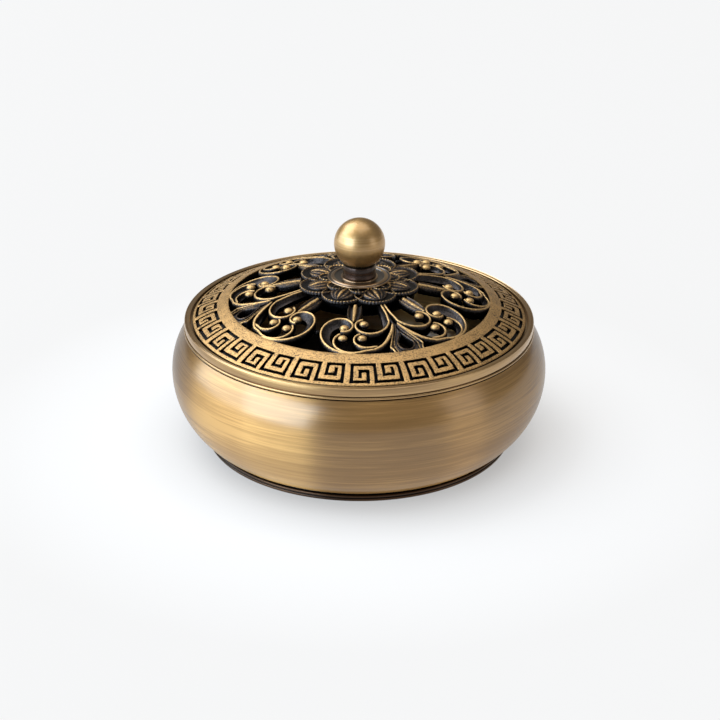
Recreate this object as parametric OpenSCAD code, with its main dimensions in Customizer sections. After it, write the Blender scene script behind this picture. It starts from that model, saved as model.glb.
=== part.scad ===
// Lotus incense burner: belly bowl, turned mouth collar and pierced domed lid with a ball knob.
// Millimetres, +Z up. The origin is the centre of the foot's resting face.

/* [Bowl] */
// Largest outside diameter of the belly
belly_d = 119.3; // [118:0.1:122]
// Height of the widest point of the belly
belly_z = 24; // [22:0.5:26]
// Outside diameter of the belly where it meets the mouth bead
mouth_d = 110.4; // [109:0.1:111]
// Height of the belly's top face
mouth_z = 36.6; // [35:0.1:36.6]
// Outside diameter of the belly where it meets the foot
base_d = 99.4; // [98:0.1:101]
// Wall thickness of the belly
wall_t = 2; // [1.6:0.1:2.4]
// Thickness of the bowl's floor
floor_t = 2.2; // [1.6:0.1:2.6]

/* [Foot] */
// Outside diameter of the foot ring
foot_d = 98.2; // [97:0.1:99]
// Height of the foot ring
foot_h = 2.5; // [2.2:0.1:2.6]
// Radial width of the foot ring
foot_w = 6; // [4:0.5:10]

/* [Mouth] */
// Outside diameter of the collar's band
collar_d = 110.6; // [110:0.1:111]
// Height of the collar's lip above the table
lip_z = 40.6; // [40.4:0.1:40.8]
// Inside diameter of the collar's lip, round the lid
lip_inner_d = 106.9; // [106.5:0.1:107.1]
// Inside diameter of the ledge that carries the lid
ledge_d = 102.4; // [102:0.1:103]
// Height of the ledge that carries the lid
ledge_z = 38.9; // [38.7:0.1:39.1]

/* [Lid] */
// Outside diameter of the lid
lid_d = 105.3; // [104.8:0.1:105.6]
// Height of the dome's crown, as if it ran on under the knob
crown_z = 53.2; // [53:0.1:53.4]
// Radius of the lid's domed outside face
dome_r = 115; // [113:0.5:117]
// Diameter of the pierced field inside the border
field_d = 82.4; // [82:0.1:83]
// Thickness of the border
border_t = 2; // [1.6:0.1:2.4]
// Outside diameter of the skirt that centres the lid
skirt_d = 101.6; // [101:0.1:101.7]
// Depth of the skirt below the ledge
skirt_h = 4; // [3:0.5:6]
// Turn of the lid's pattern: the azimuth of its first stem, from -Y towards +X
stem_turn = 21.6; // [0:0.1:90]

/* [Scrollwork] */
// Width of a scroll strap
strap_w = 1.5; // [1.3:0.1:1.6]
// Depth of a scroll strap below the dome
strap_h = 3.2; // [2.6:0.1:3.6]
// Diameter of the beads in the eyes of the scrolls
bead_d = 3; // [2.8:0.1:3.2]
// Number of scroll panels round the lid
panels = 4; // [4:1:4]

/* [Lotus] */
// Number of petals in each row
petals = 8; // [8:1:8]
// Outside diameter of the calyx plate under the petals
calyx_d = 40; // [39:0.1:40.4]
// Outside diameter across the lower petals
lower_d = 41; // [40:0.1:42]
// Outside diameter across the upper petals
upper_d = 25.6; // [25:0.1:26]

/* [Knob] */
// Diameter of the ball
ball_d = 16; // [15:0.5:17]
// Height of the ball's top above the table
top_z = 72.6; // [72:0.1:73]
// Diameter of the neck
neck_d = 10.1; // [9:0.1:11]
// Diameter of the flange under the neck
flange_d = 19.6; // [19:0.1:20]
// Diameter of the threaded stud
stud_d = 4; // [3:0.5:5]

/* [Inside] */
// Diameter of the fire mat
mat_d = 86; // [70:1:88]
// Thickness of the fire mat
mat_t = 2.5; // [2:0.5:4]
// Diameter of the stick holder's base
holder_d = 22; // [18:1:30]
// Height of the stick holder
holder_h = 9; // [8:0.5:12]
// Diameter of the hole for an incense stick
stick_d = 2.4; // [2:0.1:3]

/* [Hidden] */
$fn = 96;

eps = 0.01;
floor_z = foot_h + floor_t;
mat_z = floor_z + mat_t;
// The mouth's parts, from the belly's top face up
bead_h = 1.1;
bead_round = 0.5;
collar_z = mouth_z + bead_h;
// The lotus stack, from the calyx plate up to the flange
dome_z = crown_z - dome_r;
calyx_t = 2.6;
calyx_z = crown_z - 1.9;
petal_t = 0.9;
lower_z = calyx_z + petal_t;
upper_z = lower_z + petal_t;
flange_t = 0.8;
neck_z = upper_z + flange_t;
ball_z = top_z - ball_d / 2;
stud_clear = 0.2;
washer_t = 0.8;
nut_t = 3.2;
nut_af = 7;
under_z = calyx_z - calyx_t;

brass = "#b08d57";
dark_brass = "#6b4e2c";
patina = "#2b2824";
neck_brown = "#3c281e";
steel = "#8d9092";
mat_grey = "#4a4a4a";

// ---- Curves ----

// Points of an arc about c, from angle a0 to a1
function arc(c, r, a0, a1, n = 20) =
    [for (i = [0:n]) let (a = a0 + (a1 - a0) * i / n) c + r * [cos(a), sin(a)]];

// Height of the dome's outside face at a distance r from the axis
function dome(r) = dome_z + sqrt(dome_r * dome_r - r * r);

// Points of a volute: a spiral about its eye that closes in from r_out to r_eye.
// ease above 1 makes it close in early and then run round the eye.
function volute(eye, r_out, r_eye, start, sweep, ease, n) =
    [for (i = [0:n]) let (t = i / n, r = r_eye + (r_out - r_eye) * pow(1 - t, ease))
        eye + r * [cos(start + sweep * t), sin(start + sweep * t)]];

// A smooth curve (Catmull-Rom) through the points p, with n steps between neighbours
function smooth(p, n = 4) = let (last = len(p) - 1)
    concat([for (i = [0:last - 1], k = [0:n - 1]) let (
        a = p[max(i - 1, 0)], b = p[i], c = p[i + 1], d = p[min(i + 2, last)], t = k / n)
        0.5 * (2 * b + (c - a) * t + (2 * a - 5 * b + 4 * c - d) * t * t
            + (3 * b - a - 3 * c + d) * t * t * t)], [p[last]]);

function unit(v) = v / norm(v);

// Points of the curve p moved sideways by s
function beside(p, s) = let (last = len(p) - 1)
    [for (i = [0:last]) let (d = unit(p[min(i + 1, last)] - p[max(i - 1, 0)]))
        p[i] + s * [-d[1], d[0]]];

function reversed(p) = [for (i = [len(p) - 1:-1:0]) p[i]];

// A strap of width w along the curve p
module strap(p, w = strap_w) {
    polygon(concat(beside(p, w / 2), reversed(beside(p, -w / 2))));
}

// ---- Bowl ----

belly_r = belly_d / 2;
base_r = base_d / 2;
mouth_r = mouth_d / 2;
// Radii of the two arcs that meet at the belly's widest point
function arc_radius(run, rise) = (run * run + rise * rise) / (2 * run);
low_r = arc_radius(belly_r - base_r, belly_z - foot_h);
high_r = arc_radius(belly_r - mouth_r, mouth_z - belly_z);
low_c = [belly_r - low_r, belly_z];
high_c = [belly_r - high_r, belly_z];

// The belly's side from height z0 to the mouth, moved inwards by t
function belly_side(z0, t) = concat(
    arc(low_c, low_r - t, -asin((belly_z - z0) / (low_r - t)), 0),
    arc(high_c, high_r - t, 3, asin((mouth_z - belly_z) / (high_r - t)), 10));

module bowl_shell() {
    color(brass)
        rotate_extrude()
            polygon(concat([[0, foot_h]], belly_side(foot_h, 0),
                reversed(belly_side(floor_z, wall_t)), [[0, floor_z]]));
}

module foot_ring() {
    foot_r = foot_d / 2;
    inner_r = foot_r - foot_w;
    step = 0.3;
    color(dark_brass)
        rotate_extrude()
            polygon([[inner_r, 0], [foot_r - step, 0], [foot_r, step], [foot_r, 0.9],
                [foot_r - step, 1.1], [foot_r - step, 1.6], [foot_r - 3 * step, 1.8],
                [foot_r - 3 * step, foot_h], [inner_r - 1, foot_h], [inner_r - 1, 1]]);
}

// ---- Mouth ----

module mouth_bead() {
    edge_r = mouth_r - 0.25;
    color(dark_brass)
        rotate_extrude()
            union() {
                translate([edge_r - 2, mouth_z]) square([2, bead_h]);
                translate([edge_r, mouth_z + bead_h / 2]) circle(r = bead_round);
            }
}

module mouth_collar() {
    collar_r = collar_d / 2;
    lip_r = lip_inner_d / 2;
    bulge = 0.5;
    band_low = collar_z + 0.75;
    band_high = lip_z - 0.45;
    band_r = collar_r - bulge;
    color(brass)
        rotate_extrude()
            polygon(concat(
                [[ledge_d / 2, collar_z], [collar_r - 1.1, collar_z],
                 [collar_r - 1.1, band_low - 0.15], [band_r, band_low]],
                [for (i = [1:7]) [band_r + bulge * sin(180 * i / 8),
                    band_low + (band_high - band_low) * i / 8]],
                [[band_r, band_high], [band_r - 0.25, band_high + 0.1]],
                arc([lip_r + 0.55, lip_z - 0.35], 0.35, 40, 150, 6),
                [[lip_r, lip_z - 0.6], [lip_r, ledge_z], [ledge_d / 2, ledge_z]]));
}

// ---- Inside the bowl ----

module fire_mat() {
    color(mat_grey)
        translate([0, 0, floor_z]) cylinder(d = mat_d, h = mat_t);
}

module stick_holder() {
    base_t = 2;
    boss_r = 4;
    color(brass)
        translate([0, 0, mat_z])
            difference() {
                rotate_extrude()
                    polygon(concat([[0, 0], [holder_d / 2 - 0.4, 0], [holder_d / 2, 0.4]],
                        arc([holder_d / 2 - 0.8, base_t - 0.8], 0.8, 0, 90, 4),
                        [for (i = [0:10]) let (t = i / 10)
                            [boss_r + (holder_d / 2 - 3 - boss_r) * pow(1 - t, 3),
                             base_t + (holder_h - base_t - 0.8) * t]],
                        arc([boss_r - 0.8, holder_h - 0.8], 0.8, 0, 90, 4), [[0, holder_h]]));
                translate([0, 0, holder_h - 7]) cylinder(d = stick_d, h = 8);
            }
}

// ---- Lid ----

module lid_border() {
    lid_r = lid_d / 2;
    seat_r = skirt_d / 2 - 1.4;
    field_r = field_d / 2;
    n = 12;
    top = [for (i = [0:n]) let (r = field_r + (lid_r - field_r) * i / n) [r, dome(r)]];
    under = [for (i = [0:n]) let (r = field_r + (seat_r - field_r) * i / n)
        [r, dome(r) - border_t]];
    color(dark_brass)
        rotate_extrude()
            polygon(concat(top, [[lid_r, ledge_z], [seat_r, ledge_z]], reversed(under)));
}

module lid_skirt() {
    color(dark_brass)
        rotate_extrude()
            translate([skirt_d / 2 - 1.2, ledge_z - skirt_h]) square([1.2, skirt_h]);
}

// The two spherical faces of the pierced field, as a solid between them
module dome_layer(depth) {
    translate([0, 0, dome_z])
        difference() {
            sphere(r = dome_r);
            sphere(r = dome_r - depth);
        }
}

// Eyes of the four volutes in one half of a panel. The panel's stem runs along +Y.
eye_low = [-9, 26.75];
eye_outer = [-17.2, 30.25];
eye_branch = [-11.85, 32.5];
eye_big = [-15.1, 26.2];

// The straps of one half panel, to the left of the stem
module half_scrolls() {
    strap(concat(smooth([[-1, 19.5], [-0.9, 23], [-1, 25.5]]),
        volute(eye_low, 7.8, 1.7, 4, 276, 1.8, 26)));
    strap(concat(smooth([[-0.8, 28.6], [-2.4, 31.3], [-4.7, 34.2], [-7.1, 36.5], [-10.2, 37.9]]),
        volute(eye_outer, 8.5, 1.7, 63, 200, 2, 20)));
    strap(concat([[-8.9, 37.4]], volute(eye_branch, 4.5, 1.5, 88, 180, 1.5, 16)));
    strap(concat([[-16.2, 38]], volute(eye_big, 11, 1.9, 109, 395, 2.4, 34)));
}

// The tulip leaf at the end of the stem, with its drop-shaped eye
module tulip() {
    tip = [5, 38.6];
    drop_r = 2.2;
    drop_y = 38;
    side = smooth([[0.6, 28], [1.1, 31], [2.4, 34.2], [3.7, 36.8], tip, [4.4, 39.6], [4.1, 42]]);
    difference() {
        polygon(concat(side, [for (q = reversed(side)) [-q[0], q[1]]]));
        polygon(concat([[0, 33.9]], arc([0, drop_y], drop_r, -25, 205, 14)));
    }
}

module panel_plan() {
    half_turn = 180 / panels;
    reach = 60;
    intersection() {
        union() {
            for (side = [0, 1]) mirror([side, 0]) half_scrolls();
            tulip();
            translate([-0.9, calyx_d / 2 - 0.5]) square([1.8, 9]);
            knot();
            mirror([1, 0]) knot();
        }
        difference() {
            circle(d = field_d);
            circle(d = calyx_d);
        }
        polygon([[0, 0], reach * [-sin(half_turn), cos(half_turn)],
            reach * [sin(half_turn), cos(half_turn)]]);
    }
}

// Where the big volutes of neighbouring panels meet
module knot() {
    knot_r = 31.3;
    half_turn = 180 / panels;
    translate(knot_r * [-sin(half_turn), cos(half_turn)]) circle(r = 1.6);
}

module scroll_panel(k) {
    color(patina)
        rotate(stem_turn + 180 + 360 / panels * k) {
            intersection() {
                linear_extrude(height = crown_z) panel_plan();
                dome_layer(strap_h);
            }
            for (side = [0, 1], eye = [eye_low, eye_outer, eye_branch, eye_big])
                mirror([side, 0])
                    translate([eye[0], eye[1], dome(norm(eye)) - 0.6]) sphere(d = bead_d, $fn = 32);
        }
}

module scroll_panel_1() { scroll_panel(0); }
module scroll_panel_2() { scroll_panel(1); }
module scroll_panel_3() { scroll_panel(2); }
module scroll_panel_4() { scroll_panel(3); }

// ---- Lotus ----

// Every other leaf leans to one side of a panel's edge
bud_offset = 19.8;
bud_tip_r = 27.4;
bud_mid_r = 21.3;
bud_half_w = 2.3;

// A pointed leaf along +Y: the overlap of two circles
module bud_plan() {
    half_len = bud_tip_r - bud_mid_r;
    r = arc_radius(bud_half_w, half_len);
    translate([0, bud_mid_r])
        intersection() {
            translate([r - bud_half_w, 0]) circle(r = r);
            translate([bud_half_w - r, 0]) circle(r = r);
        }
}

module stud_hole() {
    cylinder(d = stud_d + 2 * stud_clear, h = top_z);
}

module lotus_calyx() {
    color(patina)
        difference() {
            union() {
                translate([0, 0, under_z]) cylinder(d = calyx_d, h = calyx_t);
                intersection() {
                    linear_extrude(height = crown_z)
                        difference() {
                            for (k = [0:panels - 1], side = [-1, 1])
                                rotate(stem_turn + 225 + 360 / panels * k + side * bud_offset)
                                    bud_plan();
                            circle(d = calyx_d - 1);
                        }
                    dome_layer(calyx_t);
                }
            }
            stud_hole();
        }
}

// A row of dished petals round a plate. A petal is a disc with a raised rim and a crowned middle.
module petal_row(reach, petal_r, z, turn) {
    rim = 0.45;
    translate([0, 0, z]) {
        cylinder(r = reach - petal_r, h = petal_t);
        for (k = [0:petals - 1])
            rotate(turn + 360 / petals * k)
                translate([0, reach - petal_r, 0])
                    rotate_extrude()
                        polygon(concat([[0, 0], [petal_r, 0], [petal_r, petal_t + rim],
                            [petal_r - 0.5, petal_t + rim], [petal_r - 0.9, petal_t]],
                            [for (i = [1:6]) [(petal_r - 1.2) * cos(15 * i),
                                petal_t + 0.6 * sin(15 * i)]]));
    }
}

module lotus_lower() {
    color(patina)
        difference() {
            petal_row(lower_d / 2, 6.5, calyx_z, stem_turn);
            translate([0, 0, lower_z]) cylinder(d = upper_d + 0.4, h = 3);
            stud_hole();
        }
}

module lotus_upper() {
    color(dark_brass)
        difference() {
            petal_row(upper_d / 2, 3.9, lower_z, stem_turn + 180 / petals);
            translate([0, 0, upper_z]) cylinder(d = flange_d + 0.4, h = 3);
            stud_hole();
        }
}

// ---- Knob ----

module knob_flange() {
    flange_r = flange_d / 2;
    edge = 0.35;
    color(dark_brass)
        difference() {
            translate([0, 0, upper_z])
                rotate_extrude()
                    polygon(concat([[0, 0], [flange_r - edge, 0]],
                        arc([flange_r - edge, edge], edge, -90, 90, 8),
                        [[flange_r - 1.6, 2 * edge], [flange_r - 1.9, 2 * edge - 0.25],
                         [neck_d / 2 + 1, 2 * edge - 0.25], [neck_d / 2 + 0.7, flange_t],
                         [0, flange_t]]));
            stud_hole();
        }
}

module knob_neck() {
    color(neck_brown)
        difference() {
            translate([0, 0, neck_z]) cylinder(d = neck_d, h = ball_z - ball_d / 4 - neck_z);
            translate([0, 0, ball_z]) sphere(d = ball_d);
            stud_hole();
        }
}

module knob_ball() {
    color(brass)
        difference() {
            translate([0, 0, ball_z]) sphere(d = ball_d);
            cylinder(d = stud_d, h = ball_z);
        }
}

module knob_stud() {
    color(steel)
        translate([0, 0, under_z - washer_t - nut_t - 0.8])
            cylinder(d = stud_d, h = ball_z - under_z + washer_t + nut_t + 0.8 - 0.5);
}

module stud_washer() {
    color(steel)
        translate([0, 0, under_z - washer_t])
            difference() {
                cylinder(d = 9, h = washer_t);
                translate([0, 0, -eps]) cylinder(d = stud_d + 0.3, h = washer_t + 1);
            }
}

module stud_nut() {
    color(steel)
        translate([0, 0, under_z - washer_t - nut_t])
            difference() {
                cylinder(d = nut_af / cos(30), h = nut_t, $fn = 6);
                translate([0, 0, -eps]) cylinder(d = stud_d, h = nut_t + 1, $fn = 48);
            }
}

bowl_shell();
foot_ring();
mouth_bead();
mouth_collar();
fire_mat();
stick_holder();
lid_border();
lid_skirt();
scroll_panel_1();
scroll_panel_2();
scroll_panel_3();
scroll_panel_4();
lotus_calyx();
lotus_lower();
lotus_upper();
knob_flange();
knob_neck();
knob_ball();
knob_stud();
stud_washer();
stud_nut();
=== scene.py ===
# %% [markdown]
# # A brass incense burner with a pierced lotus lid
#
# The burner is a squat belly bowl on a foot ring. A turned collar closes its mouth and carries a shallow
# domed lid: a border with a key pattern, a pierced field of scrolls, a lotus and a ball knob.
# The CAD model gives the sizes and the moving bodies. This script gives every piece its finished surface.

# %% Load the frame
import math

import bmesh
import bpy
from mathutils import Matrix, Vector


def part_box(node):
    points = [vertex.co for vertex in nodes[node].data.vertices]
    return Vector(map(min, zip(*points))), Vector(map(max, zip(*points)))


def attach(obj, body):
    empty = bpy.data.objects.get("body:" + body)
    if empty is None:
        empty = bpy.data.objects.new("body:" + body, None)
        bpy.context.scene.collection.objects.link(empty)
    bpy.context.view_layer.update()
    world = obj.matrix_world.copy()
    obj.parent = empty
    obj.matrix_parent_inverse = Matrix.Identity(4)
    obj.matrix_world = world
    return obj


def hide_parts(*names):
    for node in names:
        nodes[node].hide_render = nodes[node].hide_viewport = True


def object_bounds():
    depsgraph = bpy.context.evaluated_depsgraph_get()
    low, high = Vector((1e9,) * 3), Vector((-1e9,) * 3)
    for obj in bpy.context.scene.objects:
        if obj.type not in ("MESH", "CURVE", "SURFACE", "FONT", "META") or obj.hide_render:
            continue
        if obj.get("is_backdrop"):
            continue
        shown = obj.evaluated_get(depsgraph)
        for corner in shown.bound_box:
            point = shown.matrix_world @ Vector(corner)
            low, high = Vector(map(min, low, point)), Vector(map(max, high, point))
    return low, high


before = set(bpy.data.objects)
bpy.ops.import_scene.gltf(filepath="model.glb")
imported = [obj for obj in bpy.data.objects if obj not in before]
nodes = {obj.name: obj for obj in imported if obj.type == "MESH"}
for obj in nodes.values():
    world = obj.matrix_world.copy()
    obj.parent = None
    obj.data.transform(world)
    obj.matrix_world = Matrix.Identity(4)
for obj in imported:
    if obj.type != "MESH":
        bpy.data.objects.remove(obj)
cad_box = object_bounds()
MM = 0.001
print("CAD nodes:", len(nodes))

# %% [markdown]
# ## Sizes
#
# Each height and radius that a piece shares with another is read from the frame, in millimetres, as a
# maker takes them from a drawing. Only the ornament's outlines, which the frame doesn't hold, are here.

# %% Sizes from the frame


def radius(node):
    """The outside radius of a round CAD node, in millimetres."""
    low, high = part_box(node)
    return (high.x - low.x) / 2 / MM


def bottom(node):
    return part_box(node)[0].z / MM


def top(node):
    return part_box(node)[1].z / MM


# The lid's face is part of a ball of this radius, and its crown would be this high under the knob.
DOME_RADIUS = 115.0
DOME_CROWN = 53.2
# The pierced field ends at this radius, and the plate under the lotus at this one.
FIELD_RADIUS = 41.2
CALYX_RADIUS = 17.5
# The first stem's direction, from -Y towards +X.
STEM_TURN = math.radians(21.6)
PANELS = 4
lid_radius = radius("lid_border")
ledge_z = bottom("lid_border")
ball_radius = radius("knob_ball")
ball_z = top("knob_ball") - ball_radius
print(f"lid radius {lid_radius:.2f} mm, ball radius {ball_radius:.2f} mm")

# %% [markdown]
# ## The camera and the studio
#
# The burner is seen through a long lens, 27 cm above the table and 52 cm in front. A short lens closer by
# would swell the near rim. The lights come last, when there is something for them to show.

# %% Camera
CAMERA_PLACE = Vector((0.35, -523.7, 265.8)) * MM
CAMERA_DOWN = math.radians(24.74)
CAMERA_ROLL = 0.006
LENS = 89.86

camera_data = bpy.data.cameras.new("camera")
camera_data.sensor_width = 36
camera_data.lens = LENS
camera_data.clip_start = 0.01
camera = bpy.data.objects.new("camera", camera_data)
aim = Matrix.Rotation(math.pi / 2 - CAMERA_DOWN, 4, "X") @ Matrix.Rotation(CAMERA_ROLL, 4, "Z")
camera.matrix_world = Matrix.Translation(CAMERA_PLACE) @ aim
bpy.context.scene.collection.objects.link(camera)
bpy.context.scene.camera = camera
print(f"camera: {LENS} mm lens, looking {math.degrees(CAMERA_DOWN):.1f} degrees down")

# %% [markdown]
# ## Materials: the tools
#
# Colours are written as sRGB hex values, as a colour picker shows them, and turned to the linear values
# that the renderer needs. `add` puts one node in a tree, with its settings and its links.

# %% Material helpers


def linear(hex_colour):
    """An sRGB hex colour as linear RGBA."""
    out = []
    for k in (1, 3, 5):
        c = int(hex_colour[k:k + 2], 16) / 255
        out.append(c / 12.92 if c <= 0.04045 else ((c + 0.055) / 1.055) ** 2.4)
    return (*out, 1.0)


def add(tree, kind, links=None, **settings):
    """Add a node to a tree. links maps an input to a socket or a value; settings are its attributes."""
    node = tree.nodes.new(kind)
    for name, value in settings.items():
        setattr(node, name, value)
    for name, value in (links or {}).items():
        if isinstance(value, bpy.types.NodeSocket):
            tree.links.new(value, node.inputs[name])
        else:
            node.inputs[name].default_value = value
    return node


def ramp(tree, value, stops):
    """A colour ramp over (position, colour) stops. A number as a colour makes a grey."""
    node = add(tree, "ShaderNodeValToRGB", {"Fac": value})
    band = node.color_ramp
    while len(band.elements) < len(stops):
        band.elements.new(0.5)
    for element, (position, colour) in zip(band.elements, stops):
        element.position = position
        element.color = linear(colour) if isinstance(colour, str) else (colour, colour, colour, 1)
    return node.outputs["Color"]


def new_material(name):
    """A material with an empty tree but for its Principled shader."""
    material = bpy.data.materials.new(name)
    material.use_nodes = True
    tree = material.node_tree
    tree.nodes.clear()
    shader = add(tree, "ShaderNodeBsdfPrincipled")
    output = add(tree, "ShaderNodeOutputMaterial")
    tree.links.new(shader.outputs["BSDF"], output.inputs["Surface"])
    return material, tree, shader


def place(tree, scale):
    """Object coordinates, scaled. One unit is a metre, so a scale of 1000 gives millimetres."""
    coords = add(tree, "ShaderNodeTexCoord")
    return add(tree, "ShaderNodeMapping", {"Vector": coords.outputs["Object"], "Scale": scale}).outputs[0]


def noise(tree, scale, detail=3.0, roughness=0.5):
    """Noise over Object coordinates, with a scale per axis in lumps per metre."""
    return add(tree, "ShaderNodeTexNoise", {
        "Vector": place(tree, scale), "Scale": 1.0, "Detail": detail, "Roughness": roughness,
    }).outputs["Fac"]


def math_node(tree, operation, a, b=0.0, clamp=False):
    """One sum over two values or sockets."""
    return add(tree, "ShaderNodeMath", {0: a, 1: b}, operation=operation, use_clamp=clamp).outputs[0]


def bump(tree, height, distance_mm, strength=1.0, under=None):
    """A bump of a height in millimetres, over another bump if there is one under it."""
    links = {"Height": height, "Distance": distance_mm * MM, "Strength": strength}
    if under is not None:
        links["Normal"] = under
    return add(tree, "ShaderNodeBump", links).outputs["Normal"]


# %% [markdown]
# ## Brushed antique brass
#
# The bowl is cast and turned brass. It is brushed while it turns, so its scratches run round it, and each
# one throws light up and down. That draws reflections out into upright bands. Real scratches are finer
# than a pixel, so the shader's anisotropy does it, with the tangent round Z. The brass is then browned and
# lacquered: brown streaks stay where the brush ran less, and a clear coat adds a whiter gleam.

# %% Turned and brushed brass


def turned_brass(name, bright, dark, roughness, streaks=0.5, line_mm=0.25, anisotropy=0.7, lacquer=0.7,
                 scratch=0.6, edge=1.0):
    """Brass brushed round the Z axis: fine rings in its height and its colour, under clear lacquer.
    line_mm is the rings' spacing, coarser than emery's so that it shows. edge is how much the browned
    metal still reflects at a grazing angle."""
    material, tree, shader = new_material(name)
    rings = noise(tree, (4, 4, 1 / (line_mm * MM)), detail=4, roughness=0.65)
    wide = noise(tree, (26, 26, 1300), detail=5, roughness=0.7)
    clouds = noise(tree, (14, 14, 90), detail=2)
    worn = math_node(tree, "MULTIPLY", wide, clouds)
    middle = 0.16 + 0.12 * (1.1 - streaks)
    tone = ramp(tree, worn, [(0.1, dark), (middle, mid_tone(dark, bright)), (0.3, bright)])
    lines = math_node(tree, "MULTIPLY_ADD", rings, 0.5)
    lines.node.inputs[2].default_value = 0.75
    shaded = add(tree, "ShaderNodeMix", {6: tone}, data_type="RGBA", blend_type="MULTIPLY")
    shaded.inputs[0].default_value = scratch
    grey = add(tree, "ShaderNodeCombineColor", {0: lines, 1: lines, 2: lines})
    tree.links.new(grey.outputs[0], shaded.inputs[7])
    tree.links.new(shaded.outputs[2], shader.inputs["Base Color"])
    shader.inputs["Metallic"].default_value = 1.0
    rough = ramp(tree, rings, [(0.3, roughness - 0.05), (0.7, roughness + 0.07)])
    tree.links.new(rough, shader.inputs["Roughness"])
    shader.inputs["Anisotropic"].default_value = anisotropy
    shader.inputs["Anisotropic Rotation"].default_value = 0.25
    shader.inputs["Specular Tint"].default_value = (edge, 0.9 * edge, 0.75 * edge, 1)
    shader.inputs["Coat Weight"].default_value = lacquer
    shader.inputs["Coat IOR"].default_value = 1.7
    shader.inputs["Coat Roughness"].default_value = 0.22
    around = add(tree, "ShaderNodeTangent", direction_type="RADIAL", axis="Z")
    tree.links.new(around.outputs[0], shader.inputs["Tangent"])
    tree.links.new(bump(tree, rings, 0.012, scratch), shader.inputs["Normal"])
    return material


def mid_tone(a, b):
    """The hex colour half-way between two."""
    halves = [(int(a[k:k + 2], 16) + int(b[k:k + 2], 16)) // 2 for k in (1, 3, 5)]
    return "#" + "".join(f"{h:02x}" for h in halves)


# The belly is brushed coarsely, for wide soft highlights. The collar is finer and gleams more.
belly_brass = turned_brass("belly_brass", "#c69b5c", "#9a7441", 0.47, anisotropy=1.0, lacquer=0.8, edge=0.3)
collar_brass = turned_brass("collar_brass", "#b2905d", "#8c6d43", 0.32, line_mm=0.18, anisotropy=0.6)
# The foot and the grooves keep their brown dip, and the deepest lines are black.
foot_brass = turned_brass("foot_brass", "#4f3722", "#241810", 0.36, lacquer=0.3)
seam_brass = turned_brass("seam_brass", "#6d5133", "#2a1c12", 0.34, lacquer=0.3)
# The ball is rubbed with fine emery all over: satin, with hardly a direction in it.
ball_brass = turned_brass("ball_brass", "#bb9867", "#a5834f", 0.42, streaks=0.2, line_mm=0.3, anisotropy=0.2,
                         lacquer=0.5, scratch=0.2)
# Black for the seams' deepest lines, and also painted shadow: on the foot's neck under the belly and in a
# band at the top of the knob's neck, under the ball.
seam_black_and_shadow = turned_brass("seam_black_and_shadow", "#1c130c", "#0a0705", 0.45, lacquer=0.2)
# Between the flange's rings lies a grey bloom, the neck is dipped brown, and the loose holder is bare.
grey_patina = turned_brass("grey_patina", "#46403c", "#231f1d", 0.33, anisotropy=0.4, scratch=0.5)
neck_bronze = turned_brass("neck_bronze", "#3d2618", "#170e0a", 0.34, anisotropy=0.3, lacquer=0.35)
holder_brass = turned_brass("holder_brass", "#c4a067", "#8d6d40", 0.3, anisotropy=0.5)
flange_brass = turned_brass("flange_brass", "#a68458", "#6a5038", 0.3, scratch=0.4)
# The skirt and the inside of the bowl are painted near-black, a painted shade, but for the belt where it is
# widest.
inner_shade_brass = turned_brass("inner_shade_brass", "#22170d", "#0c0805", 0.5, anisotropy=0.2, lacquer=0.1)
print("turned metals are ready; the belly's colour runs from #9a7441 to #c69b5c")

# %% [markdown]
# ## Cast brass with a dark patina
#
# The lid is cast, dipped in a dark patina and rubbed back, so the high ridges are bright brass and the
# hollows stay black. Pointiness would find the ridges only on an even mesh, so each mesh carries an
# attribute instead: `rubbed`, from 0 in a hollow to 1 on a ridge. The cast skin is stippled with pits a
# few tenths of a millimetre wide, which keep the dark in them.

# %% Rubbed and patinated brass


def rubbed_brass(name, bright, pit_mm, pits):
    """Patinated casting. The attribute says where it is rubbed back to brass: black in the hollows, then
    a grey bloom, then brown, then bright brass. pits says how much of the dark the stipple keeps."""
    material, tree, shader = new_material(name)
    rub = add(tree, "ShaderNodeAttribute", attribute_name="rubbed").outputs["Fac"]
    scale = 1 / (pit_mm * MM)
    stipple = noise(tree, (scale, scale, scale), detail=2, roughness=0.6)
    patches = noise(tree, (260, 260, 260), detail=3)
    pitted = math_node(tree, "MULTIPLY", math_node(tree, "SUBTRACT", stipple, 0.5), 1.6 * pits)
    patchy = math_node(tree, "MULTIPLY", math_node(tree, "SUBTRACT", patches, 0.5), 0.5)
    uneven = math_node(tree, "ADD", pitted, patchy)
    held = math_node(tree, "MULTIPLY", uneven, math_node(tree, "ADD", rub, 0.15))
    level = math_node(tree, "ADD", rub, held, clamp=True)
    stops = [(0.04, "#050506"), (0.2, "#3a3737"), (0.42, "#4f4239"), (0.64, "#9b7d53"), (0.9, bright)]
    tree.links.new(ramp(tree, level, stops), shader.inputs["Base Color"])
    shader.inputs["Metallic"].default_value = 1.0
    tree.links.new(ramp(tree, level, [(0.1, 0.34), (0.6, 0.5)]), shader.inputs["Roughness"])
    fine = bump(tree, stipple, 0.1, 0.75 * pits)
    tree.links.new(bump(tree, patches, 0.5, 0.35, under=fine), shader.inputs["Normal"])
    return material


border_brass = rubbed_brass("border_brass", "#c09a66", pit_mm=0.42, pits=1.3)
lattice_brass = rubbed_brass("lattice_brass", "#cba873", pit_mm=0.45, pits=1.1)
lotus_brass = rubbed_brass("lotus_brass", "#cba873", pit_mm=0.38, pits=1.3)
print("cast metals are ready")

# %% [markdown]
# ## Felt, steel and the floor
#
# The fire mat is a pressed ceramic-fibre felt: matt, grey and fuzzy, so rough with a little sheen. The
# stud, washer and nut inside the lid are zinc plated steel, dull grey with faint scuffs. The floor is
# white paper, which a studio lights on its own so that it stays white.

# %% Felt, zinc and floor materials


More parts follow.
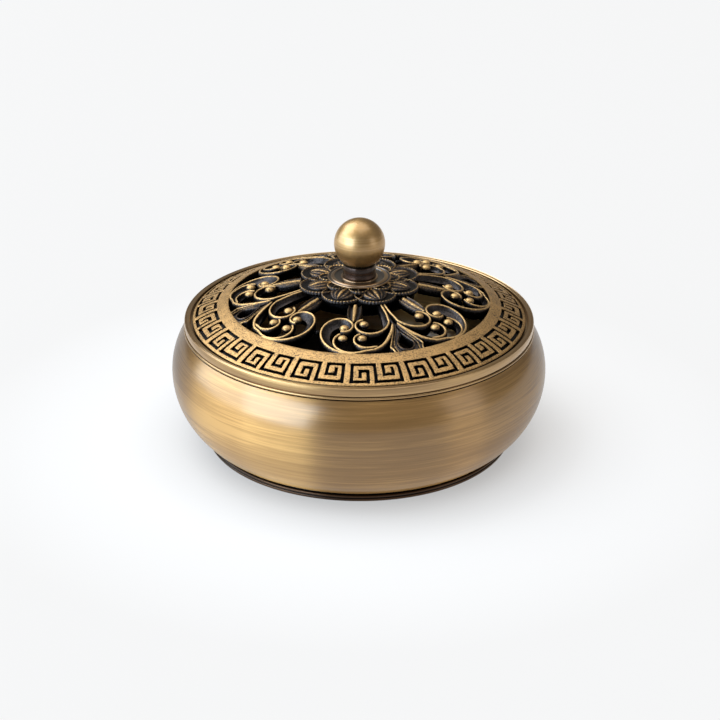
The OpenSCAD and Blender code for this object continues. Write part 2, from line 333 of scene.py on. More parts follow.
def felt():
    """Pressed fibre: threads finer than half a millimetre, gathered in tufts of two or three."""
    material, tree, shader = new_material("mat_fibre")
    fibres = noise(tree, (2600, 2600, 2600), detail=4, roughness=0.7)
    tufts = noise(tree, (420, 420, 420), detail=3)
    both = math_node(tree, "MULTIPLY", fibres, tufts)
    tree.links.new(ramp(tree, both, [(0.12, "#26262a"), (0.36, "#6b6b6e")]), shader.inputs["Base Color"])
    shader.inputs["Roughness"].default_value = 0.95
    shader.inputs["Sheen Weight"].default_value = 0.3
    tree.links.new(bump(tree, both, 0.4, 0.8), shader.inputs["Normal"])
    return material


def zinc():
    """Zinc plate: a dull, faintly crystalline grey with scuffs along the rod."""
    material, tree, shader = new_material("zinc_steel")
    dull = noise(tree, (900, 900, 900), detail=3)
    scuffs = noise(tree, (300, 300, 2500), detail=3)
    tree.links.new(ramp(tree, dull, [(0.35, "#8f9296"), (0.65, "#b4b7ba")]), shader.inputs["Base Color"])
    shader.inputs["Metallic"].default_value = 1.0
    tree.links.new(ramp(tree, scuffs, [(0.35, 0.3), (0.65, 0.5)]), shader.inputs["Roughness"])
    tree.links.new(bump(tree, dull, 0.01, 0.4), shader.inputs["Normal"])
    return material


def white_floor():
    """White paper. Away from the burner it has its own light, as a lit backdrop has, and stays even. Near the
    foot that light is turned down, a painted contact shadow round the burner.
    """
    material, tree, shader = new_material("floor_white")
    coords = add(tree, "ShaderNodeTexCoord").outputs["Object"]
    away = add(tree, "ShaderNodeVectorMath", {0: coords}, operation="LENGTH").outputs["Value"]
    paper = ramp(tree, away, [(0.06, 0.24), (0.08, 0.2), (0.1, 0.13), (0.13, 0.05)])
    # The glow falls off towards the foot: even backdrop light far out, painted contact shadow close in.
    glow = ramp(tree, away, [(0.05, 0.42), (0.06, 0.56), (0.075, 0.68), (0.1, 0.78), (0.13, 0.85)])
    tree.links.new(paper, shader.inputs["Base Color"])
    tree.links.new(glow, shader.inputs["Emission Color"])
    shader.inputs["Roughness"].default_value = 0.9
    shader.inputs["Specular IOR Level"].default_value = 0.0
    shader.inputs["Emission Strength"].default_value = 1.0
    return material


mat_fibre = felt()
zinc_steel = zinc()
floor_white = white_floor()
print("materials:", len(bpy.data.materials))

# %% [markdown]
# ## Building tools
#
# Everything here is either turned or follows a drawn line, so two tools make nearly all of it. `lathe`
# spins an outline about the Z axis. `skin` moves a grid's vertices through rows of points, as a loft does.
# Meshes are made in millimetres, and `finish_piece` scales them, so no object has a scale of its own.

# %% Curves in the plane


def arc(centre, r, start, end, steps):
    """Points of an arc, with its angles in degrees."""
    angles = [math.radians(start + (end - start) * i / steps) for i in range(steps + 1)]
    return [(centre[0] + r * math.cos(a), centre[1] + r * math.sin(a)) for a in angles]


def volute(eye, r_out, r_eye, start, sweep, ease, steps):
    """A spiral about its eye that closes in from r_out to r_eye."""
    points = []
    for i in range(steps + 1):
        t = i / steps
        r = r_eye + (r_out - r_eye) * (1 - t) ** ease
        a = math.radians(start + sweep * t)
        points.append((eye[0] + r * math.cos(a), eye[1] + r * math.sin(a)))
    return points


def smooth(points, steps=8):
    """A Catmull-Rom curve through the points."""
    out = []
    last = len(points) - 1
    for i in range(last):
        a, b, c, d = (Vector(points[k]) for k in (max(i - 1, 0), i, i + 1, min(i + 2, last)))
        for k in range(steps):
            t = k / steps
            p = 2 * b + (c - a) * t + (2 * a - 5 * b + 4 * c - d) * t ** 2 + (3 * b - a - 3 * c + d) * t ** 3
            out.append(tuple(p / 2))
    return out + [tuple(points[last])]


def evenly(points, step):
    """The same path with points a step apart."""
    vectors = [Vector(p) for p in points]
    lengths = [0.0]
    for a, b in zip(vectors, vectors[1:]):
        lengths.append(lengths[-1] + (b - a).length)
    count = max(2, round(lengths[-1] / step))
    out = []
    k = 0
    for i in range(count + 1):
        along = lengths[-1] * i / count
        while k < len(lengths) - 2 and lengths[k + 1] < along:
            k += 1
        share = (along - lengths[k]) / (lengths[k + 1] - lengths[k])
        out.append(vectors[k].lerp(vectors[k + 1], share))
    return out


def dome(r):
    """The height of the lid's face at a distance r from the axis, in millimetres."""
    return DOME_CROWN - DOME_RADIUS + math.sqrt(DOME_RADIUS ** 2 - r * r)


def bell(t, peak=0.5, power=1.0):
    """0 at both ends of 0..1 and 1 at the peak."""
    u = t / peak if t < peak else (1 - t) / (1 - peak)
    return max(0.0, math.sin(math.pi / 2 * min(1, u))) ** power


# %% Mesh tools


def skin(mesh, rows):
    """A surface through rows of (x, y, z, rubbed) points. Each vertex of a grid moves to its point."""
    grid = bmesh.ops.create_grid(mesh, x_segments=len(rows[0]) - 1, y_segments=len(rows) - 1, size=1)
    rubbed = mesh.verts.layers.float["rubbed"]
    for vertex, point in zip(grid["verts"], [p for row in rows for p in row]):
        vertex.co = point[:3]
        vertex[rubbed] = point[3]
    return grid["verts"]


def new_mesh():
    mesh = bmesh.new()
    mesh.verts.layers.float.new("rubbed")
    return mesh


def lathe(mesh, outline, steps=256, closed=True):
    """Spin an outline of (r, z) points about the Z axis."""
    points = [mesh.verts.new((r, 0, z)) for r, z in outline]
    edges = [mesh.edges.new(pair) for pair in zip(points, points[1:])]
    if closed:
        edges.append(mesh.edges.new((points[-1], points[0])))
    bmesh.ops.spin(mesh, geom=points + edges, cent=(0, 0, 0), axis=(0, 0, 1), angle=math.tau,
                   steps=steps, use_merge=True)


def round_corners(outline, corner, steps=3):
    """Cut every corner of a closed outline with a small arc-like curve. corner is the length it takes."""
    out = []
    count = len(outline)
    for i in range(count):
        before, here, after = (Vector(outline[(i + k) % count]) for k in (-1, 0, 1))
        cut = min(corner, (before - here).length * 0.45, (after - here).length * 0.45)
        a = here + (before - here).normalized() * cut
        b = here + (after - here).normalized() * cut
        for k in range(steps + 1):
            t = k / steps
            out.append(tuple((1 - t) ** 2 * a + 2 * t * (1 - t) * here + t * t * b))
    return out


def finish_piece(mesh, name, node, body, material, sharp=30, join=1e-4):
    """Close, shade and scale a mesh, put it on its body and hide the CAD node it replaces. The second of two
    materials is for grooves.
    """
    bmesh.ops.remove_doubles(mesh, verts=mesh.verts, dist=join)
    bmesh.ops.holes_fill(mesh, edges=[e for e in mesh.edges if e.is_boundary], sides=0)
    bmesh.ops.recalc_face_normals(mesh, faces=mesh.faces)
    bmesh.ops.scale(mesh, vec=(MM, MM, MM), verts=mesh.verts)
    data = bpy.data.meshes.new(name)
    mesh.to_mesh(data)
    mesh.free()
    for polygon in data.polygons:
        polygon.use_smooth = True
    data.set_sharp_from_angle(angle=math.radians(sharp))
    for m in material if isinstance(material, tuple) else (material,):
        data.materials.append(m)
    piece = bpy.data.objects.new(name, data)
    bpy.context.scene.collection.objects.link(piece)
    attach(piece, body)
    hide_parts(node)
    print(f"{name}: {len(data.polygons)} faces in place of {node}, on the {body}")


def turned(name, node, body, material, outline, steps=256, closed=True, bands=(), inside=0.0):
    """A piece spun from an outline. Its second material goes on the faces whose middle lies in one of the
    bands of heights, outside a radius."""
    mesh = new_mesh()
    lathe(mesh, outline, steps, closed)
    for face in mesh.faces:
        middle = face.calc_center_median()
        if math.hypot(middle.x, middle.y) > inside and any(a < middle.z < b for a, b in bands):
            face.material_index = 1
    finish_piece(mesh, name, node, body, material)


def turn_by(mesh, verts, turn):
    bmesh.ops.rotate(mesh, verts=verts, cent=(0, 0, 0), matrix=Matrix.Rotation(turn, 3, "Z"))


# %% [markdown]
# ## The bowl
#
# The belly is two arcs that meet at its widest point, in a 2 mm wall. The foot ring, the mouth bead
# and the collar are turned separately and soldered on, which leaves dark seams. Each is one outline spun
# on the lathe, because a turner's tool leaves just that. The seams are real recesses, black inside, and
# the foot shows 0.6 mm more of itself than its CAD solid.

# %% Bowl, foot and mouth
FOOT_STEP = 0.6
belly_r = radius("bowl_shell")
foot_h = bottom("bowl_shell") + FOOT_STEP
mouth_z = top("bowl_shell")
# The height of the widest point, and the radii where the belly meets the foot and the mouth bead.
BELLY_Z = 23.2
BASE_R = 49.7
MOUTH_R = 55.2
WALL = 2.0
FLOOR = 1.6
# Discs are spun from this radius out, so that their middles aren't needle-thin triangles.
DISC_R = 30


def arc_radius(run, rise):
    """The radius of an arc that starts upright and bends in by run over a rise."""
    return (run * run + rise * rise) / (2 * run)


def belly_side(z0, inwards, steps):
    """The belly's side from height z0 up to the mouth, moved inwards."""
    low = arc_radius(belly_r - BASE_R, BELLY_Z - foot_h)
    high = arc_radius(belly_r - MOUTH_R, mouth_z - BELLY_Z)
    start = -math.degrees(math.asin((BELLY_Z - z0) / (low - inwards)))
    end = math.degrees(math.asin((mouth_z - BELLY_Z) / (high - inwards)))
    below = arc((belly_r - low, BELLY_Z), low - inwards, start, 0, steps)
    above = arc((belly_r - high, BELLY_Z), high - inwards, 0, end, steps)
    return below + above[1:]


def make_bowl():
    """The shell. Its inner faces are painted near-black as painted shade, but for the belt that is wider than
    the mouth.
    """
    mesh = new_mesh()
    floor_z = foot_h + FLOOR
    outside = belly_side(foot_h, 0, 24)
    inside = belly_side(floor_z, WALL, 24)[::-1]
    under = [(0, foot_h), (DISC_R, foot_h)]
    floor_top = [(DISC_R, floor_z), (0, floor_z)]
    lathe(mesh, under + outside + inside + floor_top, 288, False)
    for face in mesh.faces:
        middle = face.calc_center_median()
        wide = math.hypot(middle.x, middle.y)
        # Inner faces below the mouth's reach take the painted shade.
        in_painted_shade = middle.z > floor_z - 0.1 and wide < MOUTH_R - WALL * 0.4
        if in_painted_shade and inside_belly(wide, middle.z):
            face.material_index = 1
    finish_piece(mesh, "belly_bowl", "bowl_shell", "bowl", (belly_brass, inner_shade_brass))


def inside_belly(wide, z):
    """Whether a point of the shell is on its inner face."""
    outer = min(belly_side(foot_h, 0, 60), key=lambda p: abs(p[1] - z))[0]
    return wide < outer - WALL * 0.6


make_bowl()


# The foot ring: a bevelled edge, two beads with a black line between them, and a neck under the belly,
# painted black for its patina and as painted shadow under the belly.
foot_r = radius("foot_ring")
step = 0.3
foot_line = [
    (foot_r - 6, 0), (foot_r - step, 0), (foot_r, step), (foot_r, 0.8), (foot_r - step, 1.0),
    (foot_r - step, 1.15), (foot_r, 1.35), (foot_r, 1.7), (foot_r - step, 1.95),
    (foot_r - 3 * step, 2.1), (foot_r - 3 * step, foot_h), (foot_r - 7, foot_h), (foot_r - 7, 1)]
turned("foot", "foot_ring", "bowl", (foot_brass, seam_black_and_shadow), round_corners(foot_line, 0.12),
       bands=[(0.9, 1.25), (1.9, foot_h)], inside=foot_r - 2)

# The mouth bead: a half-round roll of this radius over a thin black recess.
roll = 0.4
roll_r = radius("mouth_bead") - roll
bead_top = top("mouth_bead")
roll_low = bead_top - 2 * roll
turned("mouth_seam", "mouth_bead", "bowl", (collar_brass, seam_black_and_shadow),
       [(roll_r - 2, mouth_z), (roll_r - 0.4, mouth_z), (roll_r - 0.4, roll_low)]
       + arc((roll_r, roll_low + roll), roll, -90, 90, 12) + [(roll_r - 2, bead_top)],
       bands=[(mouth_z - 0.1, roll_low + 0.05)])

# The collar: a faintly convex band, a fine groove, and a lip round the ledge that carries the lid.
collar_z = bottom("mouth_collar")
lip_z = top("mouth_collar")
collar_r = radius("mouth_collar")
lip_r = 53.45
ledge_r = 51.2
BULGE = 0.15
band_low = collar_z + 0.4
band_high = lip_z - 0.2
band_r = collar_r - BULGE
band = [(band_r + BULGE * math.sin(math.pi * i / 16), band_low + (band_high - band_low) * i / 16)
        for i in range(17)]
turned("collar", "mouth_collar", "bowl", (collar_brass, seam_brass),
       [(ledge_r, collar_z), (band_r - 0.3, collar_z), (band_r - 0.3, band_low - 0.1)] + band
       + [(band_r - 0.2, lip_z - 0.05), (band_r - 0.4, lip_z - 0.2), (band_r - 0.55, lip_z - 0.2),
          (band_r - 0.7, lip_z - 0.02), (band_r - 0.9, lip_z), (lip_r + 0.2, lip_z), (lip_r, lip_z - 0.2),
          (lip_r, ledge_z), (ledge_r, ledge_z)],
       bands=[(collar_z - 0.1, band_low - 0.02)])

# %% [markdown]
# ## Inside the bowl
#
# A fire mat keeps a burning coil off the brass, and the stick holder stands on it. They show when the lid
# is lifted. A lathe would leave the mat too true for felt, so it is a skin of rings with a ragged edge and
# soft dips on top. The holder is turned brass with a drilled hole.

# %% Fire mat and stick holder
mat_r = radius("fire_mat")
mat_low = bottom("fire_mat")
mat_high = top("fire_mat")
MAT_ROUND = 0.9


def make_mat():
    """A felt disc: its edge is rounded and a little ragged, its top is gently uneven."""
    mesh = new_mesh()
    rings = [(r, mat_high) for r in (0.001, 8, 16, 24, 32, 38, 41)]
    edge = arc((mat_r - MAT_ROUND, mat_high - MAT_ROUND), MAT_ROUND, 90, 0, 6)
    base = [(mat_r, mat_low + 0.3), (mat_r - 0.3, mat_low), (30, mat_low), (0.001, mat_low)]
    outline = rings + edge + base
    rows = []
    for i in range(181):
        a = math.tau * i / 180
        row = []
        for r, z in outline:
            dip = 0.12 * (math.sin(r * 0.4 + 2 * a) - 1) if 4 < r < 41.5 and z == mat_high else 0
            if r > mat_r - 1.5:
                r += 0.25 * math.sin(a * 7 + 1) * math.sin(a * 17) - 0.25
            row.append((r * math.cos(a), r * math.sin(a), z + dip, 0))
        rows.append(row)
    skin(mesh, rows)
    finish_piece(mesh, "felt_mat", "fire_mat", "bowl", mat_fibre, join=2e-3)


make_mat()

holder_r = radius("stick_holder")
holder_low = bottom("stick_holder")
holder_high = top("stick_holder")
HOLE_R = 1.2
HOLE_DEPTH = 7.0
flare = [(4 + (holder_r - 7) * (1 - i / 16) ** 3, holder_low + 2 + (holder_high - holder_low - 2.8) * i / 16)
         for i in range(17)]
turned("stick_stand", "stick_holder", "holder", holder_brass,
       [(0, holder_low), (holder_r - 0.4, holder_low), (holder_r, holder_low + 0.4)]
       + arc((holder_r - 0.8, holder_low + 1.2), 0.8, 0, 90, 6) + flare
       + arc((3.2, holder_high - 0.8), 0.8, 0, 90, 6)
       + [(HOLE_R + 0.25, holder_high), (HOLE_R, holder_high - 0.25), (HOLE_R, holder_high - HOLE_DEPTH),
          (0, holder_high - HOLE_DEPTH)], 96, False)

# %% [markdown]
# ## The lid's border
#
# The border is a cast ring with 18 pairs of key spirals. A boolean would leave ragged edges on the dome.
# Instead one grid covers the ring, with its lines on the edges of the grooves, so that each groove is a
# set of whole cells. Those cells are pushed down, and their rims are bevelled to catch the light.

# %% Border with its key pattern
PAIRS = 18
# Half the width of a groove, its depth, and the radius at which its width is true.
GROOVE = 0.5
GROOVE_DEPTH = 0.8
FRET_R = 48.5
# The inside of the seat under the border, which rests on the collar's ledge.
SEAT_R = 49.4
# The line of one pair of spirals, as angles in degrees and radii in millimetres.
KEY = [(0.5, 49.5), (0.5, 47.6), (3.2, 47.6), (3.2, 51.3), (-2.4, 51.3), (-2.4, 45.4), (5.8, 45.4),
       (5.8, 51.3), (14.5, 51.3), (14.5, 45.4), (8.8, 45.4), (8.8, 49.0), (12.0, 49.0), (12.0, 47.0)]
half_angle = math.degrees(GROOVE / FRET_R)


def in_groove(angle, r):
    """Whether a point of the border, at an angle in degrees, lies in a groove."""
    a = (angle + 3.5) % (360 / PAIRS) - 3.5
    for (a0, r0), (a1, r1) in zip(KEY, KEY[1:]):
        across = min(a0, a1) - half_angle < a < max(a0, a1) + half_angle
        if across and min(r0, r1) - GROOVE < r < max(r0, r1) + GROOVE:
            return True
    return False


def key_lines(k, half):
    """The grid lines that the grooves' edges need, along the angle (k 0) or the radius (k 1)."""
    centres = sorted({p[k] for p in KEY})
    return [c + side * half for c in centres for side in (-1, 1)]


def make_border():
    """The ring with its grooves: skin, push down, bevel, then say where it is rubbed."""
    pair_lines = key_lines(0, half_angle) + [-0.95, 1.85, 4.5, 7.55, 10.4, 13.25, 16.05]
    angles = sorted(a + 360 / PAIRS * k for k in range(PAIRS) for a in pair_lines)
    angles.append(angles[0] + 360)
    radii = sorted({round(r, 3) for r in key_lines(1, GROOVE)})
    face = [(r, 0.0) for r in [FIELD_RADIUS + 0.25, 42.3, 43.4, 44.3] + radii + [52.15]]
    inner_wall = [(FIELD_RADIUS, -2.0), (FIELD_RADIUS, -0.25), (FIELD_RADIUS + 0.07, -0.08)]
    edge = [(lid_radius - 0.22, -0.02), (lid_radius - 0.06, -0.1)]
    outline = [(r, dome(r) + h) for r, h in inner_wall + face + edge]
    outline += [(lid_radius, dome(lid_radius) - 0.3), (lid_radius, ledge_z), (SEAT_R, ledge_z)]
    outline += [(r, dome(r) - 2.0) for r in (SEAT_R, 47.5, 45.5, 43.4, FIELD_RADIUS)]
    rows = []
    for angle in angles:
        a = math.radians(angle)
        rows.append([(r * math.sin(a), -r * math.cos(a), z, 0.1) for r, z in outline])
    mesh = new_mesh()
    skin(mesh, rows)
    bmesh.ops.remove_doubles(mesh, verts=mesh.verts, dist=1e-4)
    grooves = []
    for cell in mesh.faces:
        c = cell.calc_center_median()
        r = math.hypot(c.x, c.y)
        if c.z > dome(r) - 0.15 and in_groove(math.degrees(math.atan2(c.x, -c.y)), r):
            grooves.append(cell)
    made = bmesh.ops.extrude_face_region(mesh, geom=grooves)["geom"]
    bmesh.ops.delete(mesh, geom=grooves, context="FACES")
    down = [v for v in made if isinstance(v, bmesh.types.BMVert)]
    for vertex in down:
        vertex.co *= 1 - GROOVE_DEPTH / DOME_RADIUS
        vertex.co.z -= GROOVE_DEPTH * (1 - DOME_CROWN / DOME_RADIUS)
    low = set(down)
    rims = [e for e in mesh.edges
            if not low & set(e.verts) and any(low & set(f.verts) for f in e.link_faces)]
    bmesh.ops.bevel(mesh, geom=rims, offset=0.24, offset_type="OFFSET", segments=3, profile=0.5,
                    affect="EDGES", material=-1)
    rubbed = mesh.verts.layers.float["rubbed"]
    for vertex in mesh.verts:
        r = math.hypot(vertex.co.x, vertex.co.y)
        depth = dome(min(r, lid_radius)) - vertex.co.z
        vertex[rubbed] = max(0.0, 0.8 - 1.6 * max(0, depth - 0.02)) if depth < 1.5 else 0.15
        if r > lid_radius - 0.3:
            vertex[rubbed] = 0.85 if depth < 0.12 else 0.02
    finish_piece(mesh, "key_border", "lid_border", "lid", border_brass, sharp=40)


make_border()

skirt_r = radius("lid_skirt")
skirt_low = bottom("lid_skirt")
skirt_line = [(skirt_r - 1.2, skirt_low), (skirt_r, skirt_low), (skirt_r, ledge_z), (skirt_r - 1.2, ledge_z)]
# The skirt under the lid is painted near-black, a painted shade.
turned("skirt", "lid_skirt", "lid", inner_shade_brass, round_corners(skirt_line, 0.2), 192)

# %% [markdown]
# ## The pierced scrollwork
#
# Each of the four panels is one casting: a stem that splits into scrolls, a tulip leaf, and a bead in the
# eye of each scroll. A strap has a rounded ridge along its outside and a hollow slope towards its eye. A
# curve with a bevel profile would keep one section from end to end, so each strap is a skin of sections
# that swell and thin along a spiral.

# %% Straps


def strap(mesh, path, slope, crest=0.4, peak=0.4, side=1, leaf=0.0, low=-3.2, lift=0.0, polish=1.0):
    """A strap along a path in the panel's plane. slope is the widest the inner slope gets, at the peak.
    leaf widens the ridge near the strap's start, by that many millimetres each side. lift raises the
    ridge, and polish says how brightly it is rubbed, as a number or as its two ends' numbers."""
    points = evenly(path, 0.3)
    count = len(points) - 1
    shine = polish if isinstance(polish, tuple) else (polish, polish)
    rows = []
    for i, p in enumerate(points):
        t = i / count
        along = (points[min(i + 1, count)] - points[max(i - 1, 0)]).normalized()
        inwards = Vector((-along.y, along.x))
        w = 0.12 + (slope - 0.12) * bell(t, peak, 1.2)
        half = crest + leaf * bell(min(1, t / 0.42), 0.45) * (t < 0.42)
        half *= min(1, 0.45 + i / 4)
        section = [(-half - 0.1, low, 0), (-half - 0.06, -1.3, 0.04), (-half, -0.45, 0.2),
                   (-0.8 * half, -0.13, 0.5), (-0.35 * half, 0.05, 1), (0.35 * half, 0.05, 1),
                   (0.8 * half, -0.13, 0.5), (half, -0.42, 0.2), (half + 0.14 * w, -0.8, 0.2),
                   (half + 0.36 * w, -1.25, 0.2), (half + 0.66 * w, -1.62, 0.18),
                   (half + w, -1.85, 0.26), (half + w + 0.02, -2.1, 0.05), (half + w, low, 0)]
        row = []
        glow = shine[0] + (shine[1] - shine[0]) * t
        for s, h, rub in section + section[:1]:
            h += lift if h > low else 0
            rub *= glow
            q = p + inwards * s
            r = q.length
            if r > FIELD_RADIUS + 0.3:
                q *= (FIELD_RADIUS + 0.3) / r
                r = FIELD_RADIUS + 0.3
            row.append((side * q.x, q.y, dome(r) + h, rub))
        rows.append(row)
    skin(mesh, rows)


# %% Tulip leaf and beads
# The leaf's edge and rib on one side, as (x, y) points from its root outwards, and the drop cut in it: its
# tip, and the middle and radius of its round end.
TULIP_SIDE = [(0.35, 29.6), (1.35, 31.6), (2.7, 34.2), (4.1, 36.8), (5.1, 38.7), (4.7, 39.7), (4.5, 41.5)]
TULIP_RIB = [(0.25, 30.2), (1.0, 32.4), (2.1, 34.6), (3.3, 36.9), (3.75, 38.4), (3.6, 39.8), (3.4, 41.4)]
DROP_TOP = 33.9
DROP_MIDDLE = 38.0
DROP_R = 2.2


def across(curve, y):
    """The x of a curve that climbs in y."""
    for a, b in zip(curve, curve[1:]):
        if a[1] <= y <= b[1]:
            return a[0] + (b[0] - a[0]) * (y - a[1]) / max(1e-6, b[1] - a[1])
    return curve[-1][0] if y > curve[-1][1] else curve[0][0]


def drop_edge(y):
    """Half the width of the tulip's drop-shaped opening."""
    tangent_y = DROP_MIDDLE - DROP_R * math.sin(math.radians(25))
    if y <= DROP_TOP or y >= DROP_MIDDLE + DROP_R:
        return 0.0
    if y < tangent_y:
        return DROP_R * math.cos(math.radians(25)) * (y - DROP_TOP) / (tangent_y - DROP_TOP)
    return math.sqrt(DROP_R ** 2 - (y - DROP_MIDDLE) ** 2)


def tulip_half(mesh, side):
    """One half of the tulip: a dark blade with a rolled edge, a rib, and a rim round its drop."""
    outer = smooth(TULIP_SIDE, 12)
    rows = []
    for i in range(97):
        y = 28.6 + 13.0 * i / 96
        inside = drop_edge(y)
        outside = max(across(outer, y), inside + 0.2)
        row = [(side * inside, y, dome(y) - 3.2, 0)]
        for k in range(9):
            x = inside + (outside - inside) * k / 8
            dip = math.sin(math.pi * k / 8)
            row.append((side * x, y, dome(min(math.hypot(x, y), 41.4)) - 0.75 - 0.2 * dip, 0.16 + 0.1 * dip))
        row.append((side * outside, y, dome(min(math.hypot(outside, y), 41.4)) - 3.2, 0))
        row.append(row[0])
        rows.append(row)
    skin(mesh, rows)
    rim = [(0.06, DROP_TOP - 0.9), (0.9, DROP_TOP + 0.75)]
    rim += arc((0, DROP_MIDDLE), DROP_R + 0.34, -28, 88, 20)
    for path, crest, lift, polish in (
            (outer, 0.3, -0.1, (0.4, 0.95)), (smooth(TULIP_RIB, 10), 0.24, -0.3, (0.35, 0.7)),
            (evenly(rim, 0.3), 0.26, -0.3, 0.42)):
        strap(mesh, [(-x, y) for x, y in path], 0.14, crest=crest, side=-side, lift=lift, polish=polish)


def bead(mesh, x, y, z, r, shine=1.0):
    """A round bead, rubbed on its upper half. shine says how brightly."""
    made = bmesh.ops.create_uvsphere(mesh, u_segments=32, v_segments=20, radius=r)["verts"]
    rubbed = mesh.verts.layers.float["rubbed"]
    for vertex in made:
        vertex[rubbed] = max(0.05, shine * min(1.0, 0.3 + 0.8 * vertex.co.z / r))
        vertex.co.z *= 0.8
        vertex.co += Vector((x, y, z))


# %% Panels
# The eyes of the four scrolls in half a panel, and the radius at which neighbouring panels touch.
KNOT_RADIUS = 31.3
EYES = [(-9, 26.75), (-17.2, 30.25), (-11.85, 32.5), (-15.1, 26.2)]


def scrolls():
    """Each strap of half a panel: its path, slope, leaf and the peak of its slope."""
    low, outer, branch, big = EYES
    stem = smooth([(-0.55, 16.5), (-0.56, 20), (-0.62, 23), (-0.95, 25.5), (-1.25, 27)], 8)
    leaf = smooth([(-0.75, 29.3), (-2.1, 32.0), (-4.3, 34.9), (-6.9, 37.2), (-10.2, 38.3)], 10)
    return [
        (stem + volute(low, 7.8, 1.75, 8, 272, 1.8, 60), 1.3, 0.0, 0.42),
        (leaf + volute(outer, 8.5, 1.75, 63, 200, 2, 50), 1.5, 0.22, 0.62),
        ([(-8.9, 37.4)] + volute(branch, 4.5, 1.6, 88, 180, 1.5, 40), 0.8, 0.0, 0.45),
        ([(-16.2, 38)] + volute(big, 11, 1.9, 109, 395, 2.4, 90), 2.3, 0.0, 0.36),
    ]


def make_panel(k):
    """One panel: two mirrored halves about a stem, turned to its quarter of the lid."""
    mesh = new_mesh()
    for side in (1, -1):
        for path, slope, leaf, peak in scrolls():
            strap(mesh, path, slope, peak=peak, side=side, leaf=leaf)
        tulip_half(mesh, side)
        for x, y in EYES:
            bead(mesh, side * x, y, dome(math.hypot(x, y)) - 0.75, 1.5)
        # A knot ties each panel to the next. It lies low and dark.
        half_turn = math.pi / PANELS
        knot_x = side * KNOT_RADIUS * math.sin(half_turn)
        knot_y = KNOT_RADIUS * math.cos(half_turn)
        bead(mesh, knot_x, knot_y, dome(KNOT_RADIUS) - 2.3, 1.15, 0.12)
    strap(mesh, [(0.0, 16.5), (0.0, 30)], 0.15, crest=0.55, lift=-1.1, polish=0.2)
    turn_by(mesh, mesh.verts, STEM_TURN + math.pi + math.tau / PANELS * k)
    node = f"scroll_panel_{k + 1}"
    finish_piece(mesh, f"scrolls_{k + 1}", node, "lid", lattice_brass, sharp=50)


for k in range(PANELS):
    make_panel(k)

# %% [markdown]
# ## The lotus
#
# Eight broad petals lie over the stems, with eight small ones above, turned half a petal. One function
# makes them all: a rolled rim with a beaded edge, round a mound of ribs that run together at both ends.
# It works in polar rings, because the beading follows the rim. Pointed buds stand out below, in pairs.

# %% Petals


def petal(mesh, turn, reach, r, z, thick, mound, ribs, shine):
    """One petal: a dish whose thin rim is beaded along its outer side, and a mound of ribs in it that run
    together at both ends. Its middle is reach - r from the axis. shine says how bright its rim is."""
    middle = reach - r
    rings = [0.0, 0.3, 0.6, 0.8] + [1 + (k - 8) * 0.075 / r for k in range(9)]
    beads = round(6 * r)
    rows = []
    for j in range(8 * beads + 1):
        a = math.tau * j / (8 * beads)
        outer_side = min(1, max(0, 1.2 * math.sin(a) + 0.5))
        frill = outer_side * math.cos(beads * a)
        row = []
        for ring in rings:
            roll = math.exp(-((ring - 1) * r / 0.26 + 1) ** 2)
            wide = 1 + 0.016 * frill * (ring > 0.9)
            h = 0.4 * roll * (0.9 + 0.2 * frill) - 0.15 * (ring < 0.95)
            row.append((r * ring * wide * math.cos(a), middle + r * ring * wide * math.sin(a),
                        z + thick + h, 0.06 + shine * roll * (0.75 + 0.25 * frill)))
        row.append((r * math.cos(a), middle + r * math.sin(a), z, 0))
        row.append((0, middle, z, 0))
        rows.append(row)
    made = skin(mesh, rows)
    rows = []
    for j in range(33):
        v = -0.985 + 1.97 * j / 32
        narrow = math.cos(math.pi / 2 * v) ** 0.6
        row = []
        for k in range(61):
            u = -1 + k / 30
            rib = max(w * math.exp(-((u - c) / (0.07 + 0.08 * w)) ** 2) for c, w in ribs)
            h = mound * narrow * math.sqrt(1.02 - u * u) + 0.38 * rib * narrow ** 0.5 - 0.25
            rub = 0.01 + 0.85 * rib * min(1, 0.3 + narrow)
            row.append((0.62 * r * u * narrow, middle + 0.66 * r * v, z + thick + h, rub))
        row = [(row[0][0], row[0][1], z, 0)] + row + [(row[-1][0], row[-1][1], z, 0)]
        rows.append(row + row[:1])
    made += skin(mesh, rows)
    turn_by(mesh, made, turn)


def sepal(mesh, turn, y0, y1, half, z):
    """A small pointed leaf between two petals, with a ridge along its middle."""
    rows = []
    for i in range(17):
        t = i / 16
        w = half * math.cos(math.pi / 2 * t) + 0.02
        section = [(-1, 0, 0), (-0.9, 0.25, 0.2), (-0.4, 0.5, 0.4), (0, 0.85, 1), (0.4, 0.5, 0.4),
                   (0.9, 0.25, 0.2), (1, 0, 0), (-1, 0, 0)]
        rows.append([(w * x, y0 + (y1 - y0) * t, z + h * (1 - 0.5 * t), rub) for x, h, rub in section])
    made = skin(mesh, rows)
    turn_by(mesh, made, turn)


# Every lid piece is bored for the stud.
BORE_R = 2.2
PETALS = 8
PETAL_THICK = 0.9
lower_z = bottom("lotus_lower")
upper_z = bottom("lotus_upper")
lower_reach = radius("lotus_lower")
upper_reach = radius("lotus_upper")
# Where a broad petal's ribs lie across it, from -1 to 1, and how high each stands.
BROAD_RIBS = [(0, 1), (-0.45, 0.6), (0.45, 0.6), (-0.82, 0.55), (0.82, 0.55)]


def plate(mesh, z, r):
    """The disc that a row of petals stands out from."""
    lathe(mesh, [(BORE_R, z), (r, z), (r, z + PETAL_THICK), (BORE_R, z + PETAL_THICK)], 96)


mesh = new_mesh()
for k in range(PETALS):
    turn = STEM_TURN + math.tau / PETALS * k
    petal(mesh, turn, lower_reach, 6.5, lower_z, PETAL_THICK, 1.2, BROAD_RIBS, 0.7)
plate(mesh, lower_z, 14)
finish_piece(mesh, "broad_petals", "lotus_lower", "lid", lotus_brass, sharp=50)

